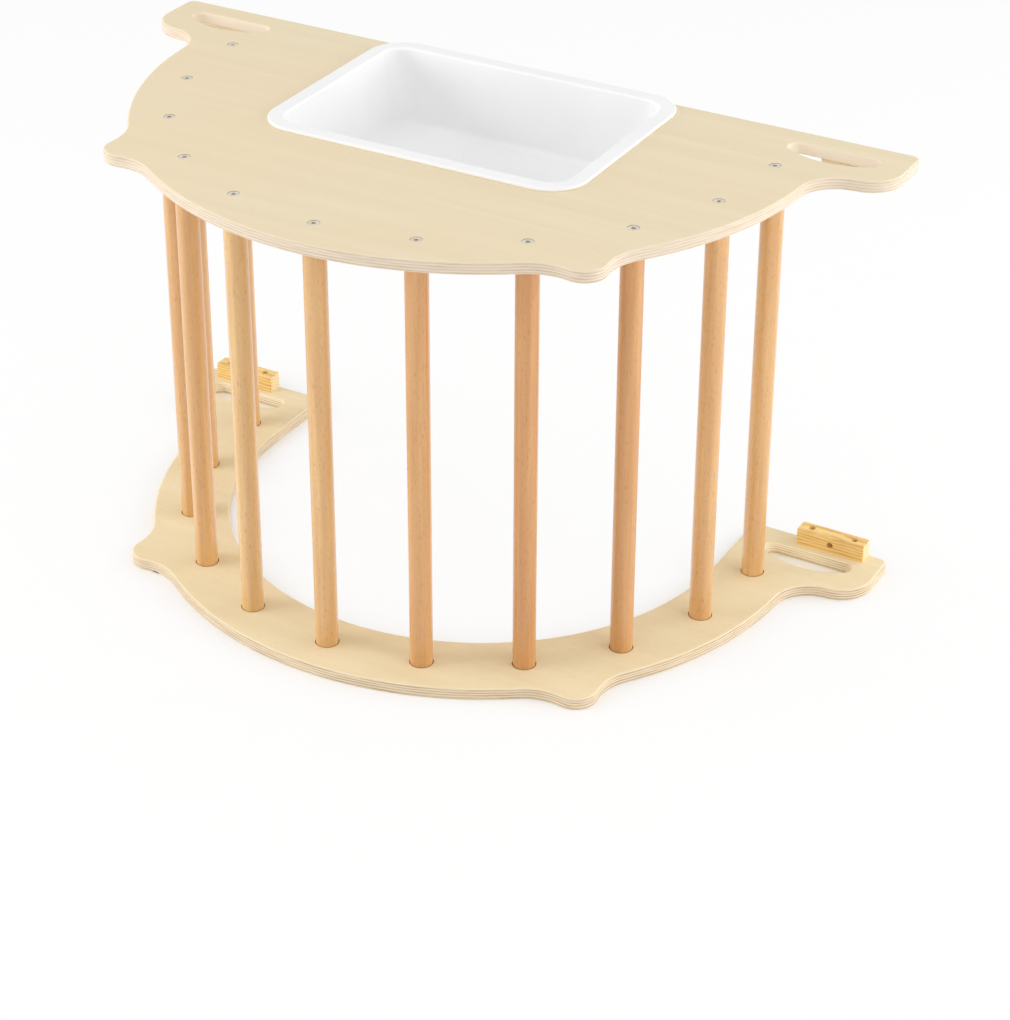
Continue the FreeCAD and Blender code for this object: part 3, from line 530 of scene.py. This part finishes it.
def floor_paper():
    """White paper that glows for the camera and keeps the object's shadow; where they touch, the glow
    fades as painted contact shade, and the paper under the hand slots carries painted warm shade.
    """
    shade = Shade("floor")
    # Painted contact shade: the glow fades where ambient occlusion finds the object close by
    contact = shade.add("ShaderNodeAmbientOcclusion")
    shade.feed(contact.inputs["Distance"], CONTACT_REACH)
    open_floor = shade.maths("POWER", contact.outputs["AO"], CONTACT_POWER)
    share = shade.maths("MULTIPLY", open_floor, FLOOR_GLOW)
    share = shade.maths("MULTIPLY", share, seen_directly(shade.tree))
    paper = shade.add("ShaderNodeBsdfDiffuse")
    # Painted warm shade on the paper under the hand slots
    shade.feed(paper.inputs["Color"], shade.mix(hand_slots(shade), FLOOR_PAPER, SLOT_SHADE_PAPER))
    glow = shade.add("ShaderNodeEmission")
    shade.feed(glow.inputs["Color"], WHITE)
    blend = shade.add("ShaderNodeMixShader")
    for place, value in enumerate((share, paper.outputs["BSDF"], glow.outputs["Emission"])):
        shade.feed(blend.inputs[place], value)
    shade.feed(shade.tree.nodes["Material Output"].inputs["Surface"], blend.outputs["Shader"])
    shade.tree.nodes.remove(shade.shader)
    return shade.material


def make_floor():
    mesh = bpy.data.meshes.new("floor")
    half = FLOOR_SIZE / 2
    corners = [(-half, -half, 0), (half, -half, 0), (half, half, 0), (-half, half, 0)]
    mesh.from_pydata(corners, [], [(0, 1, 2, 3)])
    mesh.materials.append(floor_paper())
    floor = bpy.data.objects.new("floor", mesh)
    bpy.context.scene.collection.objects.link(floor)


def make_world():
    world = bpy.data.worlds.new("studio")
    world.use_nodes = True
    tree = world.node_tree
    background = tree.nodes["Background"]
    background.inputs["Color"].default_value = WHITE
    strength = tree.nodes.new("ShaderNodeMapRange")
    strength.inputs["To Min"].default_value = WORLD_LIGHT
    strength.inputs["To Max"].default_value = 1.0
    tree.links.new(seen_directly(tree), strength.inputs["Value"])
    tree.links.new(strength.outputs["Result"], background.inputs["Strength"])
    bpy.context.scene.world = world


def make_lamp(name, place, target, size, power):
    data = bpy.data.lights.new(name, "AREA")
    data.shape = "RECTANGLE"
    data.size, data.size_y = size
    data.energy = power
    lamp = bpy.data.objects.new(name, data)
    lamp.location = place
    lamp.rotation_mode = "QUATERNION"
    lamp.rotation_quaternion = (Vector(target) - Vector(place)).to_track_quat("-Z", "Y")
    bpy.context.scene.collection.objects.link(lamp)


# Camera: from the front right and above, with a long lens; pixels count along the picture's height

CAMERA_PLACE = Vector((1.436, -2.374, 1.774))
CAMERA_AZIMUTH = math.radians(29.18)
CAMERA_ELEVATION = math.radians(28.185)
CAMERA_ROLL = math.radians(0.272)
PICTURE_PIXELS = 1020
FOCAL_PIXELS = 2683.3
AXIS_ABOVE_MIDDLE = 155
SENSOR_WIDTH = 36.0


def make_camera():
    level = math.cos(CAMERA_ELEVATION)
    back = Vector((math.sin(CAMERA_AZIMUTH) * level, -math.cos(CAMERA_AZIMUTH) * level,
                   math.sin(CAMERA_ELEVATION)))
    right = Vector((0, 0, 1)).cross(back).normalized()
    up = back.cross(right)
    tilted_right = math.cos(CAMERA_ROLL) * right + math.sin(CAMERA_ROLL) * up
    tilted_up = math.cos(CAMERA_ROLL) * up - math.sin(CAMERA_ROLL) * right
    data = bpy.data.cameras.new("camera")
    data.sensor_width = SENSOR_WIDTH
    data.lens = SENSOR_WIDTH * FOCAL_PIXELS / PICTURE_PIXELS
    data.shift_y = -AXIS_ABOVE_MIDDLE / PICTURE_PIXELS
    camera = bpy.data.objects.new("camera", data)
    turn = Matrix((tilted_right, tilted_up, back)).transposed()
    camera.matrix_world = Matrix.Translation(CAMERA_PLACE) @ turn.to_4x4()
    bpy.context.scene.collection.objects.link(camera)
    bpy.context.scene.camera = camera


make_floor()
make_world()
for lamp_name, lamp_values in LAMPS.items():
    make_lamp(lamp_name, **lamp_values)
make_camera()
bpy.context.scene.view_settings.view_transform = "Standard"
